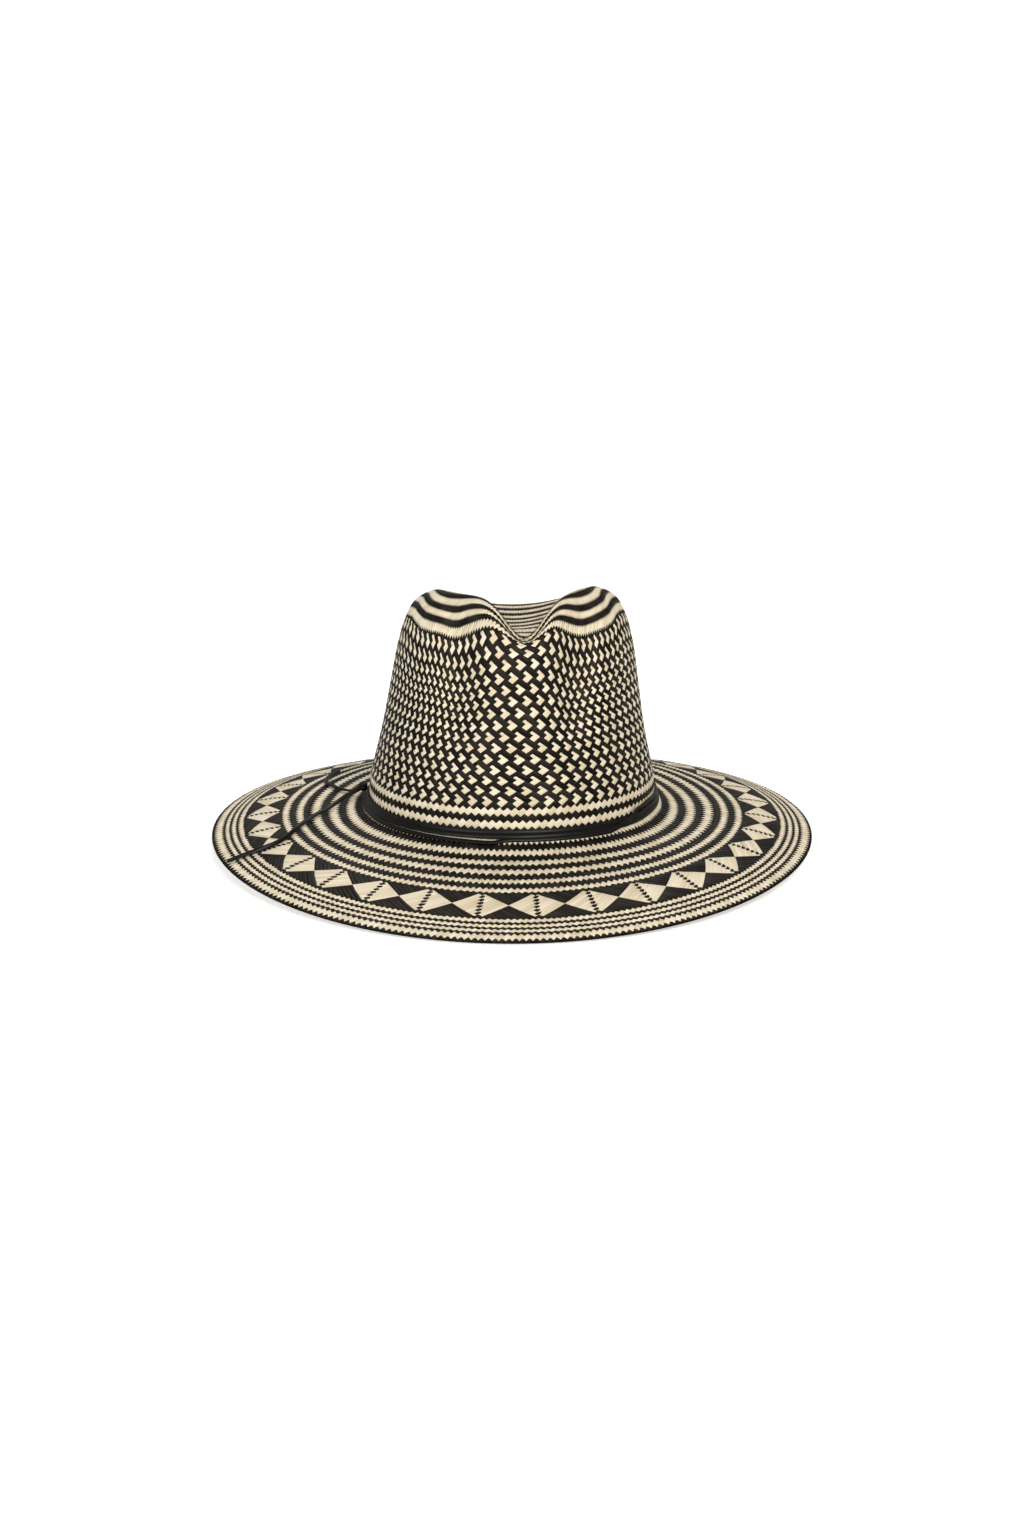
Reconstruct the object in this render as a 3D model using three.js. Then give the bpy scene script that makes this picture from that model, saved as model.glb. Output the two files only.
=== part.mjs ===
// Woven straw safari hat with a leather lace wound round the foot of its crown.
// Millimetres, +Z up. The hat's front faces -Y and its left side, seen from the front, is -X.
// The origin lies under the middle of the brim, on the surface that the hat rests on.
// The crown has a centre dent, a notch at its front and a pinch on either side of the notch.
// The brim slopes down all round and lies lowest at the front and the back.
import * as THREE from 'three';

// The woven straw
const STRAW_WALL = 1.6;
const SPOKES = 72;
const PRESSED_FLAT = 1.4;
const PRESSED_TO = 4.2;

// Sections of the outer face, from the middle of the crown's top to the brim's edge.
// run is the distance along the cloth, down the hat's side.
// front and back are where the section crosses the middle plane.
// zFront, zSide and zBack are its heights there and at the sides.
const SECTIONS = [
  { run: 0, halfWidth: 0, front: 4, back: 4, zFront: 122, zSide: 122, zBack: 122 },
  { run: 15, halfWidth: 15, front: -14, back: 22, zFront: 122, zSide: 124, zBack: 122 },
  { run: 38, halfWidth: 31.5, front: -36, back: 44, zFront: 128, zSide: 139, zBack: 125.5 },
  { run: 57, halfWidth: 45, front: -53, back: 63, zFront: 158, zSide: 152.5, zBack: 131.5 },
  { run: 71, halfWidth: 58.5, front: -60, back: 73, zFront: 157, zSide: 147.5, zBack: 127.5 },
  { run: 87, halfWidth: 66.5, front: -65, back: 80, zFront: 149, zSide: 134, zBack: 116 },
  { run: 101, halfWidth: 70.5, front: -70, back: 84, zFront: 132, zSide: 120, zBack: 104 },
  { run: 124, halfWidth: 74.4, front: -77.5, back: 87, zFront: 102, zSide: 98, zBack: 88 },
  { run: 151, halfWidth: 79, front: -85.5, back: 91, zFront: 74, zSide: 71, zBack: 68 },
  { run: 183, halfWidth: 86, front: -95, back: 96, zFront: 43, zSide: 40, zBack: 42 },
  { run: 199, halfWidth: 89, front: -100, back: 100, zFront: 28, zSide: 24, zBack: 28 },
  { run: 208, halfWidth: 97, front: -108, back: 108, zFront: 24.2, zSide: 20.5, zBack: 24.2 },
  { run: 233, halfWidth: 122, front: -133.5, back: 133.5, zFront: 19, zSide: 18.5, zBack: 19 },
  { run: 262, halfWidth: 150.6, front: -163, back: 163, zFront: 11.8, zSide: 16.2, zBack: 11.8 },
  { run: 295, halfWidth: 182.6, front: -195.1, back: 195.1, zFront: 1.6, zSide: 8.4, zBack: 1.6 },
];

// Runs at which the mesh has a ring of corners. The last two hold the pressed edge between them.
const RINGS = [
  15, 26, 38, 48, 57, 64, 71, 79, 87, 94, 101, 112, 124, 140, 160,
  183, 188, 192, 196, 200, 204, 208, 218, 233, 250, 271, 292.5, 295,
];

// The pinches beside the front, one row for each side
const PINCHES = [
  { side: -1, middle: 32, reach: 12, depth: 8, drop: 11 },
  { side: 1, middle: 34, reach: 11, depth: 10, drop: 12 },
];
const PINCH_RUNS = { topStart: 56, topFull: 92, footFull: 92, footEnd: 158 };

// The notch where the centre dent runs out through the crown's front
const NOTCH = { middle: 5.3, reach: 14.5, drop: 24 };
const NOTCH_RUNS = { dentStart: 22, dentFull: 57, wallFull: 70, wallEnd: 110 };

// The blocked crown leans a little to one side
const LEAN = { fromHeight: 30, toHeight: 140, shift: 2, rise: 0.02 };

// The leather lace
const LACE_WIDTH = 2.6;
const LACE_THICKNESS = 1.3;
const LACE_TURNS = 3;
const LACE_PITCH = 3.05;
const LACE_LOWEST_RUN = 200.6;
const LACE_STEPS_PER_TURN = SPOKES;
const KNOT_ANGLE = THREE.MathUtils.degToRad(-95);
const CLEARANCE = 0.3;
const FACET_ALLOWANCE = 0.15;

// Knot of three wraps, lying against the outside of the wound lace
const KNOT = { length: 6, radius: 2.6, groove: 0.5, wraps: 3, sides: 12 };
const KNOT_CENTRE = new THREE.Vector3(-91.3, 9.5, 29.2);

// Hand-chosen routes of the two free tails, from the knot to the bare end
const LONG_TAIL = [
  [-93.5, 7.5, 27.6], [-96.5, 5.2, 26.6], [-100, 2.4, 25.3], [-103.6, -1, 23.9],
  [-107, -5.4, 22.5], [-110.6, -11, 21.3], [-117.1, -22.6, 20.6], [-121.8, -34, 20.3],
  [-126.2, -46, 19.7], [-129.2, -55.4, 19], [-132.4, -64, 18.2], [-138.8, -71.2, 16.6],
  [-148.3, -75.6, 14.1], [-156, -78.2, 12], [-163.9, -81.6, 9.7],
];
const SHORT_TAIL = [
  [-93.2, 11.9, 27.4], [-95.4, 15.4, 25.2], [-97.8, 19.4, 23.2], [-100.6, 23.8, 21.6],
  [-104.4, 28.4, 20.9], [-109, 33.8, 20.7], [-113.6, 40, 20.5], [-117, 46.8, 20.2],
  [-118.2, 54.2, 19.8], [-117.6, 62.4, 19.5], [-115.3, 70.6, 19.3], [-112.1, 79.4, 19.1],
];
const TAIL_STEPS = { long: 20, short: 13 };
const TAIL_SIDES = 8;

const { smoothstep } = THREE.MathUtils;

function straw() {
  return new THREE.MeshStandardMaterial({ color: 0xa39a84, roughness: 0.62, metalness: 0 });
}

function leather() {
  return new THREE.MeshStandardMaterial({ color: 0x231f1a, roughness: 0.4, metalness: 0 });
}

// Slope of one column of the table at a section, from its neighbours
function slopeAt(index, column) {
  const before = SECTIONS[Math.max(index - 1, 0)];
  const here = SECTIONS[index];
  const after = SECTIONS[Math.min(index + 1, SECTIONS.length - 1)];
  if (here === before || here === after) {
    return (after[column] - before[column]) / (after.run - before.run);
  }
  const gapBefore = here.run - before.run;
  const gapAfter = after.run - here.run;
  const slopeBefore = (here[column] - before[column]) / gapBefore;
  const slopeAfter = (after[column] - here[column]) / gapAfter;
  return (slopeBefore * gapAfter + slopeAfter * gapBefore) / (gapBefore + gapAfter);
}

// One smooth cubic through the table's rows, for every column
function sectionAt(run) {
  let index = 0;
  while (index < SECTIONS.length - 2 && run >= SECTIONS[index + 1].run) index += 1;
  const low = SECTIONS[index];
  const high = SECTIONS[index + 1];
  const span = high.run - low.run;
  const t = (run - low.run) / span;
  const section = {};
  for (const column of Object.keys(low)) {
    const startSlope = slopeAt(index, column) * span;
    const endSlope = slopeAt(index + 1, column) * span;
    section[column] = (2 * t ** 3 - 3 * t ** 2 + 1) * low[column]
      + (t ** 3 - 2 * t ** 2 + t) * startSlope
      + (-2 * t ** 3 + 3 * t ** 2) * high[column]
      + (t ** 3 - t ** 2) * endSlope;
  }
  return section;
}

// Height round a section: zFront at angle 0, zSide at a quarter turn, zBack at a half turn
function heightRound(section, angle) {
  const c = Math.cos(angle);
  const ends = (section.zFront + section.zBack) / 2;
  return section.zSide + (ends - section.zSide) * c * c + (section.zFront - section.zBack) / 2 * c;
}

// A point on the hat's outer face
function outerPoint(run, angle) {
  const section = sectionAt(run);
  const frontness = smoothstep(Math.cos(angle), 0, 0.8);
  const across = section.halfWidth * Math.sin(angle);
  const halfLength = (section.back - section.front) / 2;
  const point = new THREE.Vector3(
    across,
    (section.front + section.back) / 2 - halfLength * Math.cos(angle),
    heightRound(section, angle),
  );

  const pinched = frontness
    * smoothstep(run, PINCH_RUNS.topStart, PINCH_RUNS.topFull)
    * (1 - smoothstep(run, PINCH_RUNS.footFull, PINCH_RUNS.footEnd));
  for (const pinch of PINCHES) {
    const share = pinched * Math.exp(-(((across * pinch.side - pinch.middle) / pinch.reach) ** 2));
    point.y += pinch.depth * share;
    point.z -= pinch.drop * share;
  }

  const notched = frontness
    * smoothstep(run, NOTCH_RUNS.dentStart, NOTCH_RUNS.dentFull)
    * (1 - smoothstep(run, NOTCH_RUNS.wallFull, NOTCH_RUNS.wallEnd));
  const middle = NOTCH.middle * smoothstep(run, 0, NOTCH_RUNS.dentFull);
  point.z -= NOTCH.drop * notched * Math.exp(-(((across - middle) / NOTCH.reach) ** 2));

  const lean = smoothstep(point.z, LEAN.fromHeight, LEAN.toHeight);
  point.x += LEAN.shift * lean;
  point.z += LEAN.rise * point.x * lean;
  return point;
}

// Unit directions on the outer face: outwards, and down the cloth towards the brim's edge
function outerFrame(run, angle) {
  const step = 0.5;
  const turn = 0.01;
  const down = outerPoint(run + step, angle).sub(outerPoint(run - step, angle)).normalize();
  const along = outerPoint(run, angle + turn).sub(outerPoint(run, angle - turn)).normalize();
  const outward = new THREE.Vector3().crossVectors(down, along).normalize();
  return { outward, down };
}

// Height of the underside where the hat's weight has pressed it flat on its rest
function pressed(height) {
  if (height >= PRESSED_TO) return height;
  return Math.max(0, (height - PRESSED_FLAT) * PRESSED_TO / (PRESSED_TO - PRESSED_FLAT));
}

// A point on the inner face, one wall behind the outer one
function innerPoint(run, angle) {
  const { outward } = outerFrame(run, angle);
  const point = outerPoint(run, angle).addScaledVector(outward, -STRAW_WALL);
  point.z = pressed(point.z);
  return point;
}

function angleOf(spoke) {
  return spoke / SPOKES * 2 * Math.PI;
}

function meshFrom(name, corners, faces, material) {
  const geometry = new THREE.BufferGeometry();
  geometry.setAttribute('position', new THREE.Float32BufferAttribute(corners.flatMap((p) => p.toArray()), 3));
  geometry.setIndex(faces);
  geometry.computeVertexNormals();
  const mesh = new THREE.Mesh(geometry, material);
  mesh.name = name;
  return mesh;
}

// Crown and brim in one piece: an outer skin, an inner skin and the edge that joins them
function wovenBody() {
  const corners = [];
  const faces = [];
  const addSkin = (pointAt, centre) => {
    const first = corners.length;
    corners.push(centre);
    for (const run of RINGS) {
      for (let spoke = 0; spoke < SPOKES; spoke += 1) corners.push(pointAt(run, angleOf(spoke)));
    }
    return first;
  };
  const top = outerPoint(0, 0);
  const outer = addSkin(outerPoint, top);
  const inner = addSkin(innerPoint, top.clone().add(new THREE.Vector3(0, 0, -STRAW_WALL)));
  const corner = (first, ring, spoke) => first + 1 + ring * SPOKES + spoke % SPOKES;
  const lastRing = RINGS.length - 1;
  const toInner = inner - outer;
  for (let spoke = 0; spoke < SPOKES; spoke += 1) {
    faces.push(outer, corner(outer, 0, spoke), corner(outer, 0, spoke + 1));
    faces.push(inner, corner(inner, 0, spoke + 1), corner(inner, 0, spoke));
    for (let ring = 0; ring < lastRing; ring += 1) {
      const a = corner(outer, ring, spoke);
      const b = corner(outer, ring, spoke + 1);
      const c = corner(outer, ring + 1, spoke);
      const d = corner(outer, ring + 1, spoke + 1);
      // Each four-cornered facet is cut along its shorter diagonal, alike on both skins
      const cutsAD = corners[a].distanceTo(corners[d]) < corners[b].distanceTo(corners[c]);
      const facets = cutsAD ? [[a, c, d], [a, d, b]] : [[a, c, b], [b, c, d]];
      for (const [i, j, k] of facets) {
        faces.push(i, j, k, i + toInner, k + toInner, j + toInner);
      }
    }
    const p = corner(outer, lastRing, spoke);
    const q = corner(outer, lastRing, spoke + 1);
    const r = corner(inner, lastRing, spoke);
    const s = corner(inner, lastRing, spoke + 1);
    faces.push(p, r, s, p, s, q);
  }
  return meshFrom('woven_body', corners, faces, straw());
}

// Flat section of the lace: offsets down the wall and away from it
function laceSection() {
  const half = LACE_WIDTH / 2;
  const thick = LACE_THICKNESS / 2;
  return [[-half, -thick], [half, -thick], [half, thick], [-half, thick]];
}

// The lace winds round the foot of the crown in one run, each turn above the last
function laceBand() {
  const section = laceSection();
  const corners = [];
  const faces = [];
  const steps = LACE_TURNS * LACE_STEPS_PER_TURN;
  const standOff = CLEARANCE + LACE_THICKNESS / 2 + FACET_ALLOWANCE;
  for (let step = 0; step <= steps; step += 1) {
    const turns = step / LACE_STEPS_PER_TURN;
    const run = LACE_LOWEST_RUN - turns * LACE_PITCH;
    const angle = KNOT_ANGLE + turns * 2 * Math.PI;
    const { outward, down } = outerFrame(run, angle);
    const centre = outerPoint(run, angle).addScaledVector(outward, standOff);
    for (const [across, away] of section) {
      corners.push(centre.clone().addScaledVector(down, across).addScaledVector(outward, away));
    }
  }
  const count = section.length;
  for (let step = 0; step < steps; step += 1) {
    for (let side = 0; side < count; side += 1) {
      const a = step * count + side;
      const b = step * count + (side + 1) % count;
      faces.push(a, b + count, b, a, a + count, b + count);
    }
  }
  const last = steps * count;
  for (let side = 1; side < count - 1; side += 1) {
    faces.push(0, side, side + 1);
    faces.push(last, last + side + 1, last + side);
  }
  return meshFrom('lace_band', corners, faces, leather());
}

// The knot is a short barrel with a groove between its wraps, upright against the wound lace
function laceKnot() {
  const profile = [new THREE.Vector2(0, -KNOT.length / 2)];
  const pointsPerWrap = 4;
  const count = KNOT.wraps * pointsPerWrap;
  for (let i = 0; i <= count; i += 1) {
    const share = i / count;
    const wave = Math.abs(Math.sin(share * KNOT.wraps * Math.PI));
    const belly = 0.75 + 0.25 * Math.sin(share * Math.PI);
    const radius = KNOT.radius * belly - KNOT.groove * (1 - wave);
    profile.push(new THREE.Vector2(radius, (share - 0.5) * KNOT.length));
  }
  profile.push(new THREE.Vector2(0, KNOT.length / 2));
  const geometry = new THREE.LatheGeometry(profile, KNOT.sides);
  geometry.rotateX(Math.PI / 2);
  const knot = new THREE.Mesh(geometry, leather());
  knot.name = 'lace_knot';
  knot.position.copy(KNOT_CENTRE);
  return knot;
}

// A free tail: a plain round tube as thick as the lace is wide
function laceTail(name, route, steps) {
  const path = new THREE.CatmullRomCurve3(route.map((p) => new THREE.Vector3(...p)));
  const ring = [];
  for (let side = 0; side < TAIL_SIDES; side += 1) {
    const angle = side / TAIL_SIDES * 2 * Math.PI;
    const radius = LACE_WIDTH / 2;
    ring.push(new THREE.Vector2(radius * Math.cos(angle), radius * Math.sin(angle)));
  }
  const geometry = new THREE.ExtrudeGeometry(new THREE.Shape(ring), {
    steps, bevelEnabled: false, extrudePath: path,
  });
  const tail = new THREE.Mesh(geometry, leather());
  tail.name = name;
  return tail;
}

const hat = new THREE.Group();
hat.add(wovenBody());
hat.add(laceBand());
hat.add(laceKnot());
hat.add(laceTail('lace_tail_long', LONG_TAIL, TAIL_STEPS.long));
hat.add(laceTail('lace_tail_short', SHORT_TAIL, TAIL_STEPS.short));
hat.updateMatrixWorld(true);

export default hat;
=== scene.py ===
# A woven straw safari hat with a leather lace wound round its crown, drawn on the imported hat's frame.
# The hat's lengths are in millimetres and become metres where its meshes are made. The camera, the paper
# and the lights, and values whose name says metres, are in metres.
import math
from collections import namedtuple

import bmesh
import bpy
import numpy as np
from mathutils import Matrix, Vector


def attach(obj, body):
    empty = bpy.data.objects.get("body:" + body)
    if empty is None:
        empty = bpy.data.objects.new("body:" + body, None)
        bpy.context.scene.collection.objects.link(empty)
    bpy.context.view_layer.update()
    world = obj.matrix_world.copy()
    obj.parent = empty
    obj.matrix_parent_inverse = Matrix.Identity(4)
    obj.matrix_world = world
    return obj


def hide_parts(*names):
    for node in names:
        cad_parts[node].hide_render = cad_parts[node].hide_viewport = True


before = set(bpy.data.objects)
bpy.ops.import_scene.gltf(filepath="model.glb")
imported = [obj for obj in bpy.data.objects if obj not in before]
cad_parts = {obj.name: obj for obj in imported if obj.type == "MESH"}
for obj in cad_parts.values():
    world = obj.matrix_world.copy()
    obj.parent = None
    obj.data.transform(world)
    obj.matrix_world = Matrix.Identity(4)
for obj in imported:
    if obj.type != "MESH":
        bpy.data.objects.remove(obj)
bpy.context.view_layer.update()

MM = 0.001


# The camera, fitted to the photo

CAMERA_ELEVATION = math.radians(17.1)
CAMERA_DISTANCE = 1.283
CAMERA_TARGET = Vector((0.0, 0.0, 0.005))
SENSOR_WIDTH = 24.0
SENSOR_HEIGHT = 36.0
PHOTO_HEIGHT_PIXELS = 1536
FOCAL_PIXELS = 2091.3
TARGET_BELOW_CENTRE_PIXELS = 59.4
CAMERA_CLIP_END = 20.0


def add_camera():
    """The camera stands where the photo was taken from."""
    data = bpy.data.cameras.new("photo_camera")
    data.sensor_fit = "VERTICAL"
    data.sensor_width = SENSOR_WIDTH
    data.sensor_height = SENSOR_HEIGHT
    data.lens = FOCAL_PIXELS / PHOTO_HEIGHT_PIXELS * SENSOR_HEIGHT
    data.shift_y = TARGET_BELOW_CENTRE_PIXELS / PHOTO_HEIGHT_PIXELS
    data.dof.use_dof = False
    data.clip_end = CAMERA_CLIP_END
    camera = bpy.data.objects.new("photo_camera", data)
    back = Vector((0.0, -math.cos(CAMERA_ELEVATION), math.sin(CAMERA_ELEVATION)))
    camera.location = CAMERA_TARGET + back * CAMERA_DISTANCE
    camera.rotation_euler = (math.pi / 2 - CAMERA_ELEVATION, 0.0, 0.0)
    bpy.context.collection.objects.link(camera)
    bpy.context.scene.camera = camera


add_camera()


# Meshes from arrays

def new_object(name, mesh):
    """An object in the scene that shows a mesh."""
    piece = bpy.data.objects.new(name, mesh)
    bpy.context.collection.objects.link(piece)
    return piece


def mesh_from_quads(name, points, quads, uv=None, tone=None):
    """A smooth mesh of quads. Points and uv are in millimetres, with one uv pair and one tone a point."""
    mesh = bpy.data.meshes.new(name)
    mesh.vertices.add(len(points))
    mesh.vertices.foreach_set("co", (points * MM).astype(np.float32).ravel())
    corners = quads.astype(np.int32).ravel()
    mesh.loops.add(len(corners))
    mesh.loops.foreach_set("vertex_index", corners)
    mesh.polygons.add(len(quads))
    mesh.polygons.foreach_set("loop_start", np.arange(0, len(corners), 4, dtype=np.int32))
    mesh.polygons.foreach_set("use_smooth", np.ones(len(quads), dtype=bool))
    mesh.update(calc_edges=True)
    if uv is not None:
        layer = mesh.uv_layers.new(name="strand")
        layer.data.foreach_set("uv", (uv[corners] * MM).astype(np.float32).ravel())
    if tone is not None:
        attribute = mesh.attributes.new("tone", "FLOAT", "POINT")
        attribute.data.foreach_set("value", tone.astype(np.float32))
    mesh.validate()
    return mesh


def ribbon_section(width, thickness, corner):
    """The eight corners of a flat strip's cross-section with broken edges, in turn."""
    w, t = width / 2, thickness / 2
    return np.array([
        (-w, -t + corner), (-w + corner, -t), (w - corner, -t), (w, -t + corner),
        (w, t - corner), (w - corner, t), (-w + corner, t), (-w, t - corner),
    ])


def sweep(centres, sides, ups, section, closed):
    """Points and quads of a section swept along centres, its x axis along sides and its y axis along ups."""
    ring = (
        centres[:, None]
        + sides[:, None] * section[None, :, :1]
        + ups[:, None] * section[None, :, 1:]
    )
    count, corners = len(centres), len(section)
    starts = np.arange(count if closed else count - 1)
    step = np.arange(corners)
    here = starts[:, None] * corners + step[None]
    along = ((starts + 1) % count)[:, None] * corners
    across = (step + 1) % corners
    quads = np.stack([
        here,
        starts[:, None] * corners + across[None],
        along + across[None],
        along + step[None],
    ], axis=-1).reshape(-1, 4)
    points = ring.reshape(-1, 3)
    if not closed:
        # Three quads close an eight-cornered end
        first = np.array([(0, 7, 6, 1), (1, 6, 5, 2), (2, 5, 4, 3)])
        last = first[:, ::-1] + (count - 1) * corners
        quads = np.concatenate([quads, first, last])
    return points, quads


# The two free tails of the lace

LACE_WIDTH = 2.6
LACE_THICKNESS = 1.2
LACE_CORNER = 0.25
TAIL_STEP_METRES = 0.0008
# Points of the smooth line between one chosen point and the next, before it is cut to even steps
POINTS_PER_STRETCH = 12

# Points that the tails' centre lines pass through, in metres, from the knot to the bare end
LONG_TAIL_METRES = (
    (-0.0935, 0.0075, 0.0276),
    (-0.0965, 0.0052, 0.0266),
    (-0.1000, 0.0024, 0.0253),
    (-0.1036, -0.0010, 0.0239),
    (-0.1070, -0.0054, 0.0225),
    (-0.1106, -0.0110, 0.0213),
    (-0.1171, -0.0226, 0.0206),
    (-0.1218, -0.0340, 0.0203),
    (-0.1262, -0.0460, 0.0197),
    (-0.1292, -0.0554, 0.0190),
    (-0.1324, -0.0640, 0.0182),
    (-0.1388, -0.0712, 0.0166),
    (-0.1483, -0.0756, 0.0141),
    (-0.1560, -0.0782, 0.0120),
    (-0.1639, -0.0816, 0.0097),
)
SHORT_TAIL_METRES = (
    (-0.0932, 0.0119, 0.0274),
    (-0.0954, 0.0154, 0.0252),
    (-0.0978, 0.0194, 0.0232),
    (-0.1006, 0.0238, 0.0216),
    (-0.1044, 0.0284, 0.0209),
    (-0.1090, 0.0338, 0.0207),
    (-0.1136, 0.0400, 0.0205),
    (-0.1170, 0.0468, 0.0202),
    (-0.1182, 0.0542, 0.0198),
    (-0.1176, 0.0624, 0.0195),
    (-0.1153, 0.0706, 0.0193),
    (-0.1121, 0.0794, 0.0191),
)
# Degrees that each tail is turned about its own line, at even steps from the knot to the bare end
LONG_TAIL_ROLLS = (60, 35, 10, 5, 20, 60, 70, 40, 10)
SHORT_TAIL_ROLLS = (-60, -30, -5, 0, 5, 15, 0, -10)


def smooth_path(corners, step):
    """A centripetal Catmull-Rom line through the corners, as points a step apart."""
    corners = np.array(corners)
    before = 2 * corners[0] - corners[1]
    after = 2 * corners[-1] - corners[-2]
    padded = np.concatenate([[before], corners, [after]])
    points = []
    for start in range(len(corners) - 1):
        p0, p1, p2, p3 = padded[start:start + 4]
        t1 = math.sqrt(np.linalg.norm(p1 - p0))
        t2 = t1 + math.sqrt(np.linalg.norm(p2 - p1))
        t3 = t2 + math.sqrt(np.linalg.norm(p3 - p2))
        t = np.linspace(t1, t2, POINTS_PER_STRETCH, endpoint=False)[:, None]
        a1 = (t1 - t) / t1 * p0 + t / t1 * p1
        a2 = (t2 - t) / (t2 - t1) * p1 + (t - t1) / (t2 - t1) * p2
        a3 = (t3 - t) / (t3 - t2) * p2 + (t - t2) / (t3 - t2) * p3
        b1 = (t2 - t) / t2 * a1 + t / t2 * a2
        b2 = (t3 - t) / (t3 - t1) * a2 + (t - t1) / (t3 - t1) * a3
        points.append((t2 - t) / (t2 - t1) * b1 + (t - t1) / (t2 - t1) * b2)
    line = np.concatenate(points + [corners[-1:]])
    lengths = np.concatenate([[0], np.cumsum(np.linalg.norm(np.diff(line, axis=0), axis=1))])
    wanted = np.linspace(0, lengths[-1], max(2, round(lengths[-1] / step)))
    return np.stack([np.interp(wanted, lengths, line[:, axis]) for axis in range(3)], axis=-1)


SHORTEST_VECTOR = 1e-9


def unit(vectors):
    """The vectors at a length of one."""
    return vectors / np.maximum(np.linalg.norm(vectors, axis=-1, keepdims=True), SHORTEST_VECTOR)


def add_tail(name, corners, rolls):
    """A free end of the flat leather lace, from the knot to its bare end."""
    path = smooth_path(corners, TAIL_STEP_METRES)
    centres = path / MM
    forward = unit(np.gradient(centres, axis=0))
    level = unit(np.cross(forward, (0.0, 0.0, 1.0)))
    upright = unit(np.cross(level, forward))
    where = np.linspace(0, len(rolls) - 1, len(centres))
    roll = np.radians(np.interp(where, np.arange(len(rolls)), rolls))[:, None]
    sides = level * np.cos(roll) + upright * np.sin(roll)
    ups = np.cross(sides, forward)
    section = ribbon_section(LACE_WIDTH, LACE_THICKNESS, LACE_CORNER)
    points, quads = sweep(centres, sides, ups, section, closed=False)
    along = np.repeat(np.arange(len(centres)) * TAIL_STEP_METRES / MM, len(section))
    across = np.tile(section[:, 0], len(centres))
    mesh = mesh_from_quads(name, points, quads, uv=np.stack([along, across], axis=-1))
    tail = new_object(name, mesh)
    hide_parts(name.replace("leather_", ""))
    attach(tail, "root")
    return tail


long_tail = add_tail(
    "leather_lace_tail_long", LONG_TAIL_METRES, LONG_TAIL_ROLLS
)
short_tail = add_tail(
    "leather_lace_tail_short", SHORT_TAIL_METRES, SHORT_TAIL_ROLLS
)


# The straw's shape

# A run is the way along the straw from the middle of the crown's top outwards to the rim.
# Columns: run, half width, front, back, height at the front, at the side and at the back
SECTIONS = np.array([
    (0.0, 0.0, 4.0, 4.0, 122.0, 122.0, 122.0),
    (15.0, 15.0, -14.0, 22.0, 122.0, 124.0, 122.0),
    (38.0, 31.5, -36.0, 44.0, 128.0, 139.0, 125.5),
    (57.0, 45.0, -53.0, 63.0, 158.0, 152.5, 131.5),
    (71.0, 58.5, -60.0, 73.0, 157.0, 147.5, 127.5),
    (87.0, 66.5, -65.0, 80.0, 149.0, 134.0, 116.0),
    (101.0, 70.5, -70.0, 84.0, 132.0, 120.0, 104.0),
    (124.0, 74.4, -77.5, 87.0, 102.0, 98.0, 88.0),
    (151.0, 79.0, -85.5, 91.0, 74.0, 71.0, 68.0),
    (183.0, 86.0, -95.0, 96.0, 43.0, 40.0, 42.0),
    (199.0, 89.0, -100.0, 100.0, 28.0, 24.0, 28.0),
    (208.0, 97.0, -108.0, 108.0, 24.2, 20.5, 24.2),
    (233.0, 122.0, -133.5, 133.5, 19.0, 18.5, 19.0),
    (262.0, 150.6, -163.0, 163.0, 11.8, 16.2, 11.8),
    (295.0, 182.6, -195.1, 195.1, 1.6, 8.4, 1.6),
])
RIM_RUN = SECTIONS[-1, 0]
STRAW_WALL = 1.6

# The two dents that fingers press at the front. Columns: side, middle, reach, depth and drop
PINCHES = ((-1.0, 32.0, 12.0, 8.0, 11.0), (1.0, 34.0, 11.0, 10.0, 12.0))
PINCH_TOP_RUNS = (56.0, 92.0)
PINCH_FOOT_RUNS = (92.0, 158.0)
# The notch in the crown's top edge between them
NOTCH_MIDDLE = 5.3
NOTCH_REACH = 14.5
NOTCH_DROP = 24.0
NOTCH_TOP_RUNS = (22.0, 57.0)
NOTCH_WALL_RUNS = (70.0, 110.0)
# Pinches and notch fade out towards the sides, over these cosines of the angle from the front
FRONT_COSINES = (0.0, 0.8)
# The crown leans to +X from its foot up, and is a little higher there
LEAN_HEIGHTS = (30.0, 140.0)
LEAN_SHIFT = 2.0
LEAN_RISE = 0.02

# The pinches push the strands together. Columns: degrees round, and about how many strands lie in ten
# degrees near the crown's top, above its middle and below its middle
CROWDING = np.array([
    (-180.0, 2.8, 2.6, 3.3),
    (-85.0, 3.1, 3.2, 3.5),
    (-62.0, 4.8, 5.2, 4.0),
    (-40.0, 5.6, 6.5, 4.6),
    (-22.0, 5.6, 5.8, 3.9),
    (-8.0, 3.4, 3.5, 3.2),
    (4.0, 2.8, 3.3, 3.0),
    (14.0, 3.8, 4.2, 3.2),
    (24.0, 6.0, 6.0, 3.7),
    (36.0, 6.2, 5.2, 3.9),
    (58.0, 5.0, 4.2, 3.7),
    (85.0, 3.1, 3.2, 3.4),
    (180.0, 2.8, 2.6, 3.3),
])
# The runs at which these are reached, and the column at each
CROWDING_RUNS = (60.0, 90.0, 118.0, 159.0)
CROWDING_COLUMNS = (1, 1, 2, 3)
# Before the first and past the second of these runs the strands lie evenly
EVEN_CROWDING = 3.5
EVEN_RUNS = (15.0, 190.0)

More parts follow.
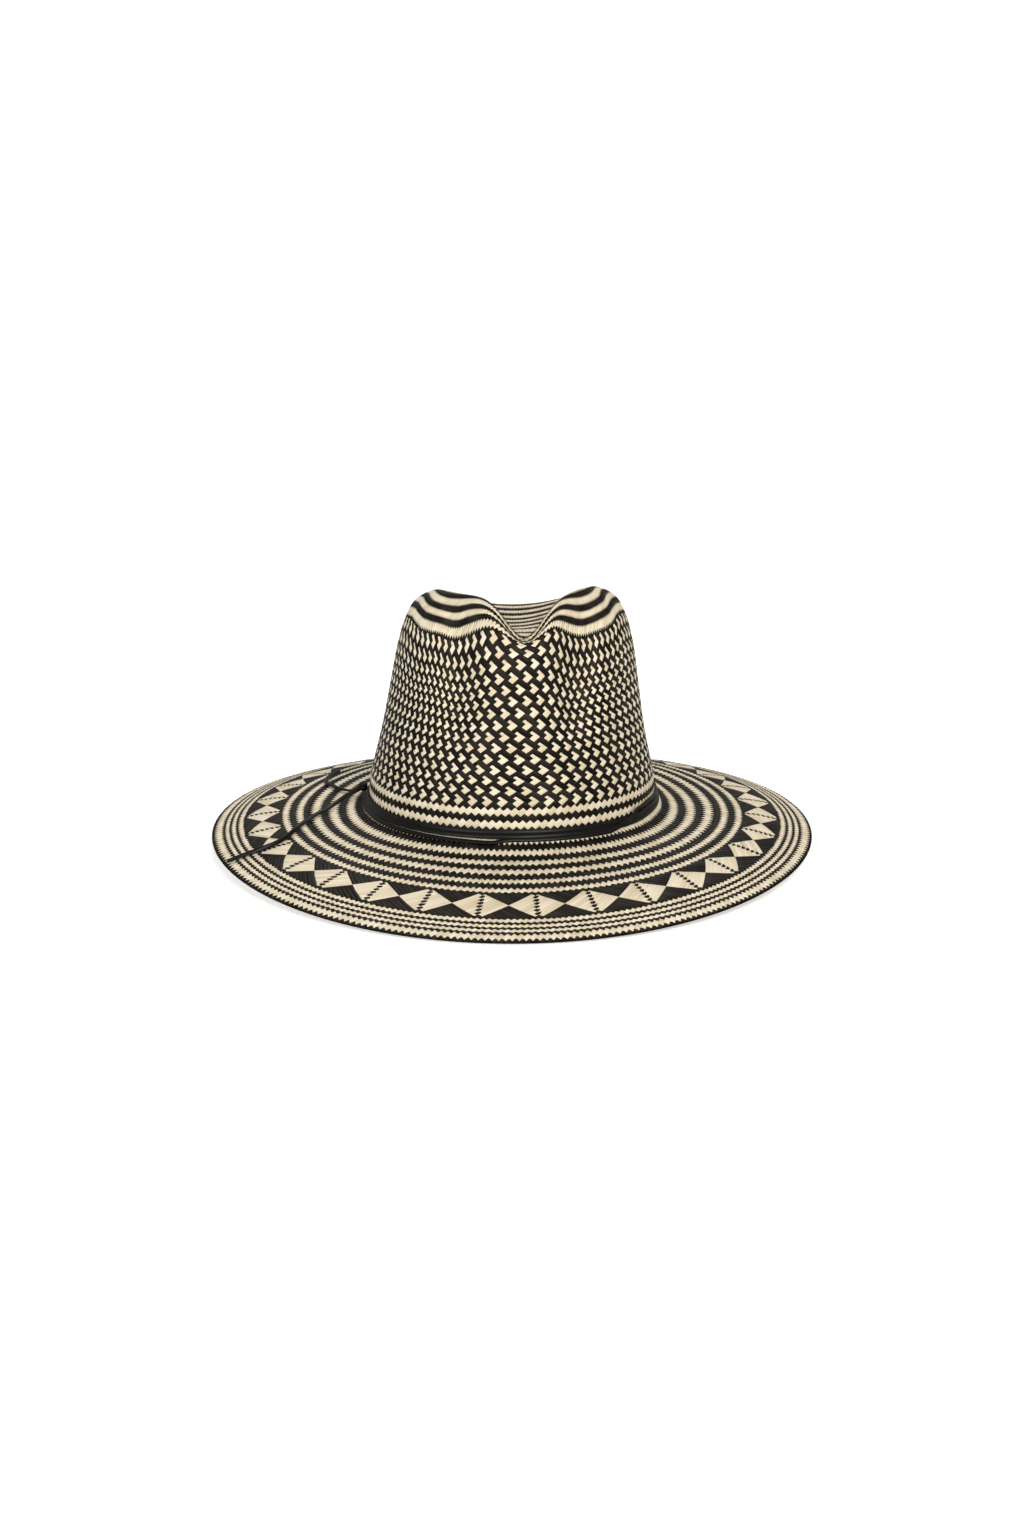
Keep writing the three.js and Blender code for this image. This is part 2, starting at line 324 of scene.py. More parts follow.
# The rings near the crown's top aren't level. Columns: degrees round, and how much farther out they lie
RING_SHIFTS = np.array([
    (-180.0, -3.0), (-110.0, -6.0), (-78.0, -6.3), (-67.0, -4.8), (-60.0, -1.4), (-53.0, 2.0), (-46.0, 2.8),
    (-34.0, 0.4), (-26.0, -1.7), (-18.0, -0.8), (-8.0, -0.6), (10.0, -2.0), (19.0, -3.9), (25.0, -3.2),
    (31.0, -1.8), (37.0, 1.2), (43.0, 3.2), (49.0, 3.2), (55.0, 1.4), (62.0, -3.0), (68.0, -5.4),
    (78.0, -6.4), (110.0, -6.0), (180.0, -3.0),
])
RING_SHIFT_RUNS = (52.0, 78.0)
RING_SHIFT_END_RUNS = (95.0, 150.0)


def smoothstep(low, high, value):
    """0 up to low, 1 from high on, and a smooth rise between them."""
    share = np.clip((value - low) / (high - low), 0.0, 1.0)
    return share * share * (3.0 - 2.0 * share)


def between(start_runs, end_runs, run):
    """A strength that rises from 0 to 1 over the first pair of runs and falls to 0 over the second."""
    return smoothstep(*start_runs, run) * (1.0 - smoothstep(*end_runs, run))


def mound(distance, reach):
    """1 in the middle, and less the farther away."""
    return np.exp(-((distance / reach) ** 2))


def section_values(run):
    """The other columns of SECTIONS at a run, along smooth curves through the rows."""
    known, values = SECTIONS[:, 0], SECTIONS[:, 1:]
    slopes = np.gradient(values, known, axis=0)
    row = np.clip(np.searchsorted(known, run, side="right") - 1, 0, len(known) - 2)
    length = (known[row + 1] - known[row])[..., None]
    s = (run - known[row])[..., None] / length
    return (
        (2 * s**3 - 3 * s**2 + 1) * values[row]
        + (s**3 - 2 * s**2 + s) * length * slopes[row]
        + (3 * s**2 - 2 * s**3) * values[row + 1]
        + (s**3 - s**2) * length * slopes[row + 1]
    )


def straw_surface(run, angle):
    """Points of the straw's outer face. Angle 0 is the front, and a quarter turn is the side at +X."""
    half, front, back, z_front, z_side, z_back = np.moveaxis(section_values(run), -1, 0)
    c, s = np.cos(angle), np.sin(angle)
    x = half * s
    y = (front + back) / 2 - (back - front) / 2 * c
    z = z_side + ((z_front + z_back) / 2 - z_side) * c * c + (z_front - z_back) / 2 * c
    at_front = smoothstep(*FRONT_COSINES, c)
    pinched = at_front * between(PINCH_TOP_RUNS, PINCH_FOOT_RUNS, run)
    for side, middle, reach, depth, drop in PINCHES:
        near = mound(x * side - middle, reach) * pinched
        y = y + depth * near
        z = z - drop * near
    notched = between(NOTCH_TOP_RUNS, NOTCH_WALL_RUNS, run)
    notch_middle = NOTCH_MIDDLE * smoothstep(0.0, NOTCH_TOP_RUNS[1], run)
    z = z - NOTCH_DROP * notched * at_front * mound(x - notch_middle, NOTCH_REACH)
    lean = smoothstep(*LEAN_HEIGHTS, z)
    x = x + LEAN_SHIFT * lean
    z = z + LEAN_RISE * x * lean
    return np.stack([x, y, z], axis=-1)


# A grid over the straw: rows a millimetre of run apart, columns at equal shares of the strands round it
GRID_COLUMNS = 1440


def crowding(run, degrees):
    """How close the strands lie at one run, at each of some degrees round."""
    columns = [np.interp(degrees, CROWDING[:, 0], CROWDING[:, column]) for column in CROWDING_COLUMNS]
    even = np.full_like(degrees, EVEN_CROWDING)
    known_runs = (EVEN_RUNS[0], *CROWDING_RUNS, EVEN_RUNS[1])
    known = np.stack([even, *columns, even])
    place = np.interp(run, known_runs, np.arange(len(known_runs)))
    low = min(int(place), len(known) - 2)
    return known[low] + (known[low + 1] - known[low]) * smoothstep(0.0, 1.0, place - low)


def share_angles(runs):
    """For each run, the angles at equal shares of the strands, with share 0 at the front."""
    angles = np.linspace(-math.pi, math.pi, GRID_COLUMNS + 1)
    middles = np.degrees((angles[1:] + angles[:-1]) / 2)
    wanted = np.arange(GRID_COLUMNS) / GRID_COLUMNS
    found = []
    for run in runs:
        way = np.concatenate([[0.0], np.cumsum(crowding(run, middles))])
        shares = (way - way[GRID_COLUMNS // 2]) / way[-1]
        found.append(np.interp(
            wanted,
            np.concatenate([shares[:-1], shares + 1.0]),
            np.concatenate([angles[:-1], angles + 2 * math.pi]),
        ))
    return np.array(found)


GRID_RUNS = np.arange(0.0, RIM_RUN + 1.0)
GRID_ANGLES = share_angles(GRID_RUNS)
GRID_DIRECTIONS = np.stack([np.cos(GRID_ANGLES), np.sin(GRID_ANGLES)], axis=-1)
GRID_POINTS = straw_surface(np.repeat(GRID_RUNS[:, None], GRID_COLUMNS, axis=1), GRID_ANGLES)
GRID_NORMALS = unit(np.cross(
    np.gradient(GRID_POINTS, axis=0),
    np.roll(GRID_POINTS, -1, axis=1) - np.roll(GRID_POINTS, 1, axis=1),
))
# At the very middle, where the grid's columns meet, the straw lies level
LEVEL_ROWS = 3
GRID_NORMALS[:LEVEL_ROWS] = (0.0, 0.0, 1.0)
JUST_INSIDE = 1e-3


def on_grid(values, run, share):
    """Values of a grid at some runs and shares, read between its points."""
    row = np.clip(run, 0.0, RIM_RUN - JUST_INSIDE)
    low = row.astype(int)
    up = (row - low)[..., None]
    column = np.mod(share, 1.0) * GRID_COLUMNS
    left = column.astype(int)
    right = (column - left)[..., None]
    left = left % GRID_COLUMNS
    after = (left + 1) % GRID_COLUMNS
    return (
        (values[low, left] * (1 - right) + values[low, after] * right) * (1 - up)
        + (values[low + 1, left] * (1 - right) + values[low + 1, after] * right) * up
    )


def ring_shift(run, share):
    """How much farther out a ring lies at a share of the way round than its own run."""
    direction = on_grid(GRID_DIRECTIONS, run, share)
    degrees = np.degrees(np.arctan2(direction[..., 1], direction[..., 0]))
    strength = between(RING_SHIFT_RUNS, RING_SHIFT_END_RUNS, run)
    return strength * np.interp(degrees, RING_SHIFTS[:, 0], RING_SHIFTS[:, 1])


def lifted(run, share, height):
    """Points at a height over the straw's outer face."""
    points = on_grid(GRID_POINTS, run, share)
    normals = unit(on_grid(GRID_NORMALS, run, share))
    return points + normals * height[..., None]


# The weave

# Seen from outside, cream strands rise to the right and black strands fall to the right. A crossing has
# the index of its rising strand, that of its falling strand, and a row, which is rising less falling and
# counts outwards. A pattern says at which crossings the cream strand lies on top outside


def stripes(first_row, period, cream_rows):
    """Cream rings cream_rows high, one every period rows, counted from first_row."""
    def cream(falling, row):
        return np.mod(row - first_row, period) < cream_rows
    return cream


ARROWHEAD_STRANDS = 8
ARROWHEAD_STEP = 3
ARROWHEAD_CREAM = (1, 3, 4)


def arrowheads(falling, row):
    """Small cream arrowheads that point right, two columns apart in rings four rows apart."""
    rising = falling + row
    return np.isin(np.mod(falling + ARROWHEAD_STEP * rising, ARROWHEAD_STRANDS), ARROWHEAD_CREAM)


DIAMOND_STRANDS = 8


def diamonds(falling, row):
    """Long cream floats in diamonds, each with a stepped black line down its middle."""
    left = np.mod(falling, DIAMOND_STRANDS) + 1
    up = row + left
    inside = (up >= 1) & (up <= DIAMOND_STRANDS)
    return inside & (left + up != DIAMOND_STRANDS + 1)


# A row farther in than all the rows of every zone
INNERMOST = -200

# The patterns of each zone from inside out. Columns: the row that it starts at, and the pattern
TIP_PATTERNS = ((INNERMOST, stripes(-15, 6, 4)),)
CROWN_PATTERNS = ((INNERMOST, stripes(-69, 6, 3)), (-66, arrowheads), (-6, stripes(-5, 4, 2)))
INNER_BRIM_PATTERNS = ((INNERMOST, stripes(0, 4, 2)),)
OUTER_BRIM_PATTERNS = ((INNERMOST, stripes(-14, 4, 2)), (-8, diamonds), (9, stripes(9, 4, 2)))

# Where the rings lie. Columns: row and run
TIP_ROWS = ((-14, 0.8), (0, 21.5))
CROWN_ROWS = (
    (-128, 19.0), (-122, 25.0), (-116, 30.6), (-110, 36.2), (-104, 41.4), (-98, 46.4), (-92, 51.6),
    (-86, 58.0), (-80, 67.8), (-74, 77.8), (-68, 87.0), (-64, 94.6), (-60, 102.4), (-56, 108.8),
    (-52, 114.0), (-48, 118.8), (-44, 123.6), (-40, 129.0), (-36, 135.1), (-32, 141.2), (-28, 147.3),
    (-24, 153.4), (-20, 159.5), (-16, 165.2), (-12, 170.9), (-8, 176.6), (-4.5, 182.9), (-0.5, 189.8),
    (3.5, 197.0),
)
INNER_BRIM_ROWS = ((-6, 193.5), (-3.5, 199.0), (0.5, 209.4), (4.5, 220.0), (8.5, 230.4), (11.5, 238.0))
OUTER_BRIM_ROWS = (
    (-16.5, 234.6), (-13.5, 239.9), (-9.5, 249.2), (-8.5, 251.0), (-7.5, 251.8), (7.5, 273.8), (8.5, 274.6),
    (10.5, 278.0), (12.5, 279.4), (14.5, 282.2), (16.5, 283.5), (18.5, 286.2), (20.5, 287.4), (22.5, 292.4),
    (24.5, 295.4),
)

# A float is a stretch of a strand that lies on top. It spreads where nothing holds it down. Each table has
# the shapes of floats over one, two, three, four, and five or more crossings, in widths of a strand.
# Columns: half of its width, how far it reaches past its last crossing to its shoulder and to its hidden
# end, and the hidden end's share of the width
CROWN_CREAM = (
    (0.54, 0.16, 0.50, 1.0), (0.63, 0.22, 0.56, 1.0), (0.49, 0.24, 0.60, 1.0), (0.54, 0.34, 0.68, 1.0),
    (0.56, 0.40, 0.72, 1.0),
)
CROWN_BLACK = (
    (0.70, 0.12, 0.54, 1.0), (0.64, 0.30, 0.66, 1.0), (0.63, 0.34, 0.68, 1.0), (0.66, 0.28, 0.64, 1.0),
    (0.54, 0.34, 0.68, 1.0),
)
BRIM_CREAM = (
    (0.50, 0.12, 0.46, 1.0), (0.57, 0.16, 0.50, 1.0), (0.49, 0.24, 0.60, 1.0), (0.54, 0.34, 0.68, 1.0),
    (0.56, 0.40, 0.72, 1.0),
)
RING_BLACK = (
    (0.66, 0.12, 0.54, 1.0), (0.64, 0.34, 0.68, 1.0), (0.63, 0.34, 0.68, 1.0), (0.70, 0.34, 0.68, 1.0),
    (0.54, 0.34, 0.68, 1.0),
)
# The short black floats in a diamond's middle are squeezed to wide lenses
DIAMOND_BLACK = ((0.98, 0.08, 0.52, 0.3), *RING_BLACK[1:])
# The shapes of black floats, then those of cream floats
CROWN_SHAPES = (CROWN_BLACK, CROWN_CREAM)
RING_SHAPES = (RING_BLACK, BRIM_CREAM)
DIAMOND_SHAPES = (DIAMOND_BLACK, BRIM_CREAM)

# Strands is how many there are of each colour. New strands come in where one zone follows another
Zone = namedtuple("Zone", "part strands first_row last_row row_places patterns shapes")
WEAVE_ZONES = (
    Zone("crown", 44, -14, 0, TIP_ROWS, TIP_PATTERNS, CROWN_SHAPES),
    Zone("crown", 96, -126, -113, CROWN_ROWS, CROWN_PATTERNS, CROWN_SHAPES),
    Zone("crown", 140, -114, -101, CROWN_ROWS, CROWN_PATTERNS, CROWN_SHAPES),
    Zone("crown", 180, -102, -66, CROWN_ROWS, CROWN_PATTERNS, CROWN_SHAPES),
    Zone("crown", 126, -65, 3, CROWN_ROWS, CROWN_PATTERNS, CROWN_SHAPES),
    Zone("brim", 186, -5, 10, INNER_BRIM_ROWS, INNER_BRIM_PATTERNS, RING_SHAPES),
    Zone("brim", 248, -16, 8, OUTER_BRIM_ROWS, OUTER_BRIM_PATTERNS, DIAMOND_SHAPES),
    Zone("brim", 312, 8, 23, OUTER_BRIM_ROWS, OUTER_BRIM_PATTERNS, RING_SHAPES),
)

# In widths of a strand: the slope along a float's edges, how wide floats are, and how far they stray
BEVEL = 0.09
WIDTH_SPREAD = (0.95, 1.04)
SIDE_SPREAD = 0.03

# Heights over the straw's outer face, in millimetres
STRAND_TOP = 0.0
STRAND_SHOULDER = -0.03
STRAND_END = -0.42
STRAND_EDGE = -0.16
STRAND_THICKNESS = 0.15
LIFT_SPREAD = 0.035

# Crossings from one station of a float to the next
CELLS_PER_STATION = 3
# Millimetres that a crossing takes of the straw's pattern, and the span in which each float starts on it
CELL_LENGTH = 2.6
PATTERN_REACH = 400

RANDOM_SEED = 7
random = np.random.default_rng(RANDOM_SEED)


def is_cream(falling, row, patterns):
    """Where the cream strand lies on top outside."""
    cream = np.zeros(row.shape, dtype=bool)
    for first_row, pattern in patterns:
        cream = np.where(row >= first_row, pattern(falling, row), cream)
    return cream


def floats_of(shown, first_row):
    """Strand, first row and last row of each unbroken stretch in a table of strands by rows."""
    padded = np.pad(shown, ((0, 0), (1, 1))).astype(np.int8)
    change = np.diff(padded, axis=1)
    strands, starts = np.nonzero(change == 1)
    _, ends = np.nonzero(change == -1)
    return strands, starts + first_row, ends - 1 + first_row


def float_profile(length, half, shoulder, reach, end_share):
    """Stations along a float, and at each its four corners' places across and heights."""
    inner = (length - 1) // CELLS_PER_STATION
    middle = np.linspace(-shoulder, length - 1 + shoulder, inner + 2)
    stations = np.concatenate([[-reach], middle, [length - 1 + reach]])
    tops = np.full(len(stations), STRAND_TOP)
    tops[[1, -2]] = STRAND_SHOULDER
    tops[[0, -1]] = STRAND_END
    lows = np.minimum(STRAND_EDGE, tops - STRAND_THICKNESS)
    across = np.tile([-half, BEVEL - half, half - BEVEL, half], (len(stations), 1))
    across[[0, -1]] *= end_share
    heights = np.stack([lows, tops, tops, lows], axis=-1)
    return stations, across, heights


def float_quads(station_count, made, outside):
    """Quads of some closed strips with four corners at each station."""
    step = np.arange(station_count - 1)[:, None] * 4
    side = np.arange(4)[None]
    next_side = (side + 1) % 4
    strip = np.stack([step + side, step + 4 + side, step + 4 + next_side, step + next_side], axis=-1)
    end = (station_count - 1) * 4
    caps = np.array([(0, 1, 2, 3), (end + 3, end + 2, end + 1, end)])
    quads = np.concatenate([strip.reshape(-1, 4), caps])
    if not outside:
        quads = quads[:, ::-1]
    starts = np.arange(made) * station_count * 4
    return (quads[None] + starts[:, None, None]).reshape(-1, 4)


def one_each(low, high, made):
    """A random number for each float, the same at all its corners."""
    return random.uniform(low, high, made)[:, None, None]


def float_points(zone, strands, firsts, length, rising, outside):
    """Points, quads, uv and tones of floats of one length, each a closed strip that dips at both ends."""
    shapes = zone.shapes[int(rising)]
    stations, corners, heights = float_profile(length, *shapes[min(length, len(shapes)) - 1])
    made = len(strands)
    along = firsts[:, None, None] + stations[None, :, None]
    width = one_each(*WIDTH_SPREAD, made)
    shift = one_each(-SIDE_SPREAD, SIDE_SPREAD, made)
    across = corners[None] * width + shift

    # A column is half the sum of the rising and the falling index
    sign = 1.0 if rising else -1.0
    column = strands[:, None, None] - sign * along / 2 + across / 2
    row = along + sign * across
    share = column / zone.strands
    known_rows, known_runs = np.transpose(zone.row_places)
    run = np.interp(row, known_rows, known_runs)
    run = run + ring_shift(run, share)

    height = heights[None] + one_each(-LIFT_SPREAD, LIFT_SPREAD, made)
    if not outside:
        height = -STRAW_WALL - height
    points = lifted(run, share, height)
    quads = float_quads(len(stations), made, outside)

    start_along = one_each(0, PATTERN_REACH, made)
    start_across = one_each(0, PATTERN_REACH, made)
    uv_along = np.broadcast_to(along * CELL_LENGTH + start_along, run.shape)
    uv = np.stack([uv_along, across * CELL_LENGTH + start_across], axis=-1)
    tone = np.broadcast_to(one_each(0, 1, made), run.shape)
    return points.reshape(-1, 3), quads, uv.reshape(-1, 2), tone.reshape(-1)


def weave_part(part, rising, outside):
    """All the floats of one colour that show on one face of the crown or the brim."""
    gathered, offset = [], 0
    for zone in WEAVE_ZONES:
        if zone.part != part:
            continue
        indices = np.arange(zone.strands)
        all_rows = np.arange(zone.first_row, zone.last_row + 1)
        index, row = np.meshgrid(indices, all_rows, indexing="ij")
        falling = index - row if rising else index
        cream = is_cream(falling, row, zone.patterns)
        shown = cream if rising == outside else ~cream
        strands, firsts, lasts = floats_of(shown, zone.first_row)
        lengths = lasts - firsts + 1
        for length in np.unique(lengths):
            chosen = lengths == length
            points, quads, uv, tone = float_points(
                zone, strands[chosen], firsts[chosen], length, rising, outside
            )
            gathered.append((points, quads + offset, uv, tone))
            offset += len(points)
    return [np.concatenate(arrays) for arrays in zip(*gathered)]


# Colours and materials

def linear(hex_colour):
    """A linear colour with alpha from an sRGB hex colour."""
    channels = [int(hex_colour[i:i + 2], 16) / 255 for i in (1, 3, 5)]
    bright = [c / 12.92 if c <= 0.04045 else ((c + 0.055) / 1.055) ** 2.4 for c in channels]
    return (*bright, 1.0)


def add_node(tree, kind, place, joined=(), **values):
    """A node with its settings and links. Joined has pairs of an input of it and the output that feeds it.

    A value whose name is a socket's, with _ for a space, goes to that socket.
    """
    node = tree.nodes.new(kind)
    node.location = place
    for name, value in values.items():
        if hasattr(node, name):
            setattr(node, name, value)
        else:
            node.inputs[name.replace("_", " ")].default_value = value
    for socket, output in joined:
        tree.links.new(output, node.inputs[socket])
    return node


def new_material(name):
    """A material and its tree, still empty."""
    material = bpy.data.materials.new(name)
    material.use_nodes = True
    material.node_tree.nodes.clear()
    return material, material.node_tree


def set_ramp(ramp, stops):
    """Sets a colour ramp's stops, each a place and a hex colour."""
    elements = ramp.color_ramp.elements
    while len(elements) > 1:
        elements.remove(elements[0])
    elements[0].position, elements[0].color = stops[0][0], linear(stops[0][1])
    for place, colour in stops[1:]:
        element = elements.new(place)
        element.color = linear(colour)


# Fibres in the straw are 0.1 mm wide in fact and 0.35 mm here, so that they show
FIBRE_LENGTH = 9.0
FIBRE_WIDTH = 0.35
# How much of a strand's shade comes from its fibres, and how much from the strand's own tone
FIBRE_SHARE = 0.45
TONE_SHARE = 0.55


def straw_material(name, stops, tint, roughness, specular, fibre_depth):
    """Split palm straw, pressed flat: soft satin, with fine fibres along each strand."""
    material, tree = new_material(name)
    uv = add_node(tree, "ShaderNodeUVMap", (-900, 0), uv_map="strand")
    stretch = add_node(
        tree, "ShaderNodeMapping", (-700, 0), [("Vector", uv.outputs["UV"])],
        Scale=(1 / (FIBRE_LENGTH * MM), 1 / (FIBRE_WIDTH * MM), 1.0),
    )
    fibre = add_node(
        tree, "ShaderNodeTexNoise", (-500, 0), [("Vector", stretch.outputs["Vector"])],
        Scale=1.0, Detail=3.0, Roughness=0.6,
    )
    tone = add_node(tree, "ShaderNodeAttribute", (-500, -260), attribute_name="tone")
    tone_part = add_node(
        tree, "ShaderNodeMath", (-300, -280), [(0, tone.outputs["Fac"])], operation="MULTIPLY"
    )
    tone_part.inputs[1].default_value = TONE_SHARE
    shade = add_node(
        tree, "ShaderNodeMath", (-300, -100),
        [(0, fibre.outputs["Fac"]), (2, tone_part.outputs["Value"])], operation="MULTIPLY_ADD",
    )
    shade.inputs[1].default_value = FIBRE_SHARE
    ramp = add_node(tree, "ShaderNodeValToRGB", (-100, -100), [("Fac", shade.outputs["Value"])])
    set_ramp(ramp, stops)
    bump = add_node(
        tree, "ShaderNodeBump", (350, -300), [("Height", fibre.outputs["Fac"])],
        Strength=1.0, Distance=fibre_depth * MM,
    )
    shader = add_node(
        tree, "ShaderNodeBsdfPrincipled", (600, 0),
        [("Base Color", ramp.outputs["Color"]), ("Normal", bump.outputs["Normal"])],
        Roughness=roughness, Specular_IOR_Level=specular, Specular_Tint=linear(tint),
    )
    add_node(tree, "ShaderNodeOutputMaterial", (900, 0), [("Surface", shader.outputs["BSDF"])])
    return material


# The leather's grain is 0.45 mm across, and its patches of wear 5.5 mm
GRAINS_PER_MM = 2.2
PATCHES_PER_MM = 0.18
GRAIN_DEPTH = 0.06
LEATHER_STOPS = ((0.3, "#070605"), (0.6, "#0c0b09"), (0.8, "#151310"))
LEATHER_GLOSSIEST = 0.30
LEATHER_DULLEST = 0.52
LEATHER_SPECULAR = 0.26


def leather_material():
    """Leather cut to a flat lace and dyed black: a fine grain, with a low polish where it is worn."""
    material, tree = new_material("black_leather")
    coordinates = add_node(tree, "ShaderNodeTexCoord", (-900, 0))
    place = coordinates.outputs["Object"]
    grain = add_node(
        tree, "ShaderNodeTexNoise", (-600, -200), [("Vector", place)],
        Scale=GRAINS_PER_MM / MM, Detail=3.0, Roughness=0.6,
    )
    patches = add_node(
        tree, "ShaderNodeTexNoise", (-600, 100), [("Vector", place)],
        Scale=PATCHES_PER_MM / MM, Detail=4.0, Roughness=0.6,
    )
    ramp = add_node(tree, "ShaderNodeValToRGB", (-300, 100), [("Fac", patches.outputs["Fac"])])
    set_ramp(ramp, LEATHER_STOPS)
    gloss = add_node(
        tree, "ShaderNodeMapRange", (-300, -60), [("Value", patches.outputs["Fac"])],
        To_Min=LEATHER_GLOSSIEST, To_Max=LEATHER_DULLEST,
    )
    bump = add_node(
        tree, "ShaderNodeBump", (300, -300), [("Height", grain.outputs["Fac"])],
        Strength=0.6, Distance=GRAIN_DEPTH * MM,
    )
    shader = add_node(
        tree, "ShaderNodeBsdfPrincipled", (600, 0),
        [
            ("Base Color", ramp.outputs["Color"]),
            ("Roughness", gloss.outputs["Result"]),
            ("Normal", bump.outputs["Normal"]),
        ],
        Specular_IOR_Level=LEATHER_SPECULAR,
    )
    add_node(tree, "ShaderNodeOutputMaterial", (900, 0), [("Surface", shader.outputs["BSDF"])])
    return material


# Bleached straw is a warm cream, a little darker along some fibres
CREAM_STRAW = straw_material(
    "cream_straw",
    ((0.15, "#cdbd9d"), (0.4, "#d9ccb1"), (0.6, "#dfd3ba"), (0.85, "#e6dcc6")),
    tint="#fff8ec", roughness=0.5, specular=0.2, fibre_depth=0.04,
)
# Dyed straw is black with a brown cast where the dye is thin, and smoother
BLACK_STRAW = straw_material(
    "black_straw",
    ((0.2, "#100f0c"), (0.5, "#1b1815"), (0.8, "#28241f")),
    tint="#fff4e2", roughness=0.42, specular=0.10, fibre_depth=0.04,
)
# Between the strands the weave is deep and in shadow: this nearly black, dull colour is painted shade,
# standing in for the strands that cross down there
SHADE_CORE_STRAW = straw_material(
    "painted_shade_behind_strands",
    ((0.2, "#0c0b09"), (0.8, "#16130f")),
    tint="#ffffff", roughness=0.8, specular=0.1, fibre_depth=0.02,
)
LEATHER = leather_material()

long_tail.data.materials.append(LEATHER)
short_tail.data.materials.append(LEATHER)


# The straw: a thin core painted near black as shade, and over it every float of the weave on both faces

# Heights over the straw's outer face
CORE_OUTER = -0.6
CORE_INNER = -1.05
CORE_RUN_ROWS = 90
CORE_COLUMNS = 180
# How far the core stops short of the crown's middle and of the rim
CORE_INSET = 0.5
# Millimetres of the straw's pattern from one row or column to the next
CORE_UV_STEP = 2.5
CORE_TONE = 0.5


def add_core():
    """The layer in the middle of the weave, where the strands that don't show cross, painted near black as
    the shade deep in the weave.
    """
    runs = np.linspace(CORE_INSET, RIM_RUN - CORE_INSET, CORE_RUN_ROWS)
    shares = np.arange(CORE_COLUMNS) / CORE_COLUMNS
    run_grid, share_grid = np.meshgrid(runs, shares, indexing="ij")
    outer = lifted(run_grid, share_grid, np.full(run_grid.shape, CORE_OUTER))
    inner = lifted(run_grid, share_grid, np.full(run_grid.shape, CORE_INNER))
    loop = np.concatenate([outer, inner[::-1]])
    rows = len(loop)
    here = np.arange(rows)[:, None] * CORE_COLUMNS
    after = (np.arange(rows) + 1)[:, None] % rows * CORE_COLUMNS
    column = np.arange(CORE_COLUMNS)[None]
    beside = (column + 1) % CORE_COLUMNS
    quads = np.stack([here + column, after + column, after + beside, here + beside], axis=-1)
    points = loop.reshape(-1, 3)
    places = np.stack([np.repeat(np.arange(rows), CORE_COLUMNS), np.tile(column[0], rows)], axis=-1)
    uv = places * CORE_UV_STEP
    tone = np.full(len(points), CORE_TONE)
    mesh = mesh_from_quads("straw_core_painted_shade", points, quads.reshape(-1, 4), uv, tone)
    # The core's near-black colour is painted shade for the deep weave between the floats
    mesh.materials.append(SHADE_CORE_STRAW)
    core = new_object("straw_core_painted_shade", mesh)
    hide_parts("woven_body")
    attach(core, "root")


def add_weave():
    """The strands in eight pieces: cream and black, on both faces of crown and brim."""
    for part in ("crown", "brim"):
        for outside in (True, False):
            for rising in (True, False):
                colour = "cream" if rising else "black"
                face = "outer" if outside else "inner"
                name = f"{colour}_straw_{part}_{face}"
                mesh = mesh_from_quads(name, *weave_part(part, rising, outside))
                mesh.materials.append(CREAM_STRAW if rising else BLACK_STRAW)
                piece = new_object(name, mesh)
                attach(piece, "root")


add_core()
add_weave()


# The leather lace round the crown

# Turns lie side by side on the straw, and the third crosses the other two at 48 and at 222 degrees.
# Columns: degrees round from the front, then run, lift and roll of each turn
LACE_PLACES = np.array([
    (-95, 194.0, 0.0, 0, 196.8, 0.0, 0, 199.6, 0.0, 0),
    (-72, 193.8, 0.0, 0, 196.6, 0.0, 0, 199.7, 0.1, 0),
    (-45, 193.9, 0.0, 0, 196.7, 0.0, 0, 200.6, 0.1, 0),
    (-22, 194.1, 0.0, 0, 196.9, 0.1, 0, 201.4, 0.1, 0),
    (-8, 194.2, 0.0, 0, 197.0, 0.2, 0, 201.9, 0.1, 0),
    (0, 194.2, 0.0, 0, 197.0, 0.3, 0, 199.2, 0.0, 0),
    (20, 194.2, 0.0, 0, 197.0, 0.3, 0, 199.3, 0.0, 0),
    (38, 194.3, 0.1, 0, 197.1, 0.1, 0, 199.5, 0.3, -10),
    (48, 194.4, 0.0, 0, 197.2, 0.0, 0, 195.8, 1.7, -30),
    (57, 194.0, 0.0, 0, 197.0, 0.0, 0, 190.6, 0.4, -20),
    (66, 193.3, 0.0, 0, 196.4, 0.0, 0, 189.8, 0.1, 0),
    (80, 193.6, 0.0, 0, 196.5, 0.0, 0, 190.6, 0.0, 0),
    (110, 196.0, 0.0, 0, 198.8, 0.0, 0, 193.2, 0.0, 0),
    (205, 196.7, 0.0, 0, 199.4, 0.0, 0, 194.0, 0.0, 0),
    (222, 195.4, 0.0, 0, 198.1, 0.0, 0, 196.7, 1.7, 20),
    (240, 194.2, 0.1, 0, 196.7, 0.0, 0, 199.4, 0.0, 0),
    (265, 194.0, 0.0, 0, 196.8, 0.0, 0, 199.6, 0.0, 0),
])
LACE_TURNS = 3
COLUMNS_PER_TURN = 3
LACE_STEPS = 400
LACE_GAP = 0.3
# The run at which the lace's angles are turned to shares of the strands
LACE_RUN = 196


def lace_shares(angle):
    """The shares of the strands at some angles round the lace."""
    shares = np.arange(GRID_COLUMNS) / GRID_COLUMNS
    return np.interp(np.mod(angle, 2 * math.pi), GRID_ANGLES[LACE_RUN], shares)


def smooth_column(column, degrees):
    """A column of LACE_PLACES at some degrees, eased between its rows."""
    known = LACE_PLACES[:, 0]
    row = np.clip(np.searchsorted(known, degrees, side="right") - 1, 0, len(known) - 2)
    share = smoothstep(0.0, 1.0, (degrees - known[row]) / (known[row + 1] - known[row]))
    values = LACE_PLACES[:, column]
    return values[row] + (values[row + 1] - values[row]) * share


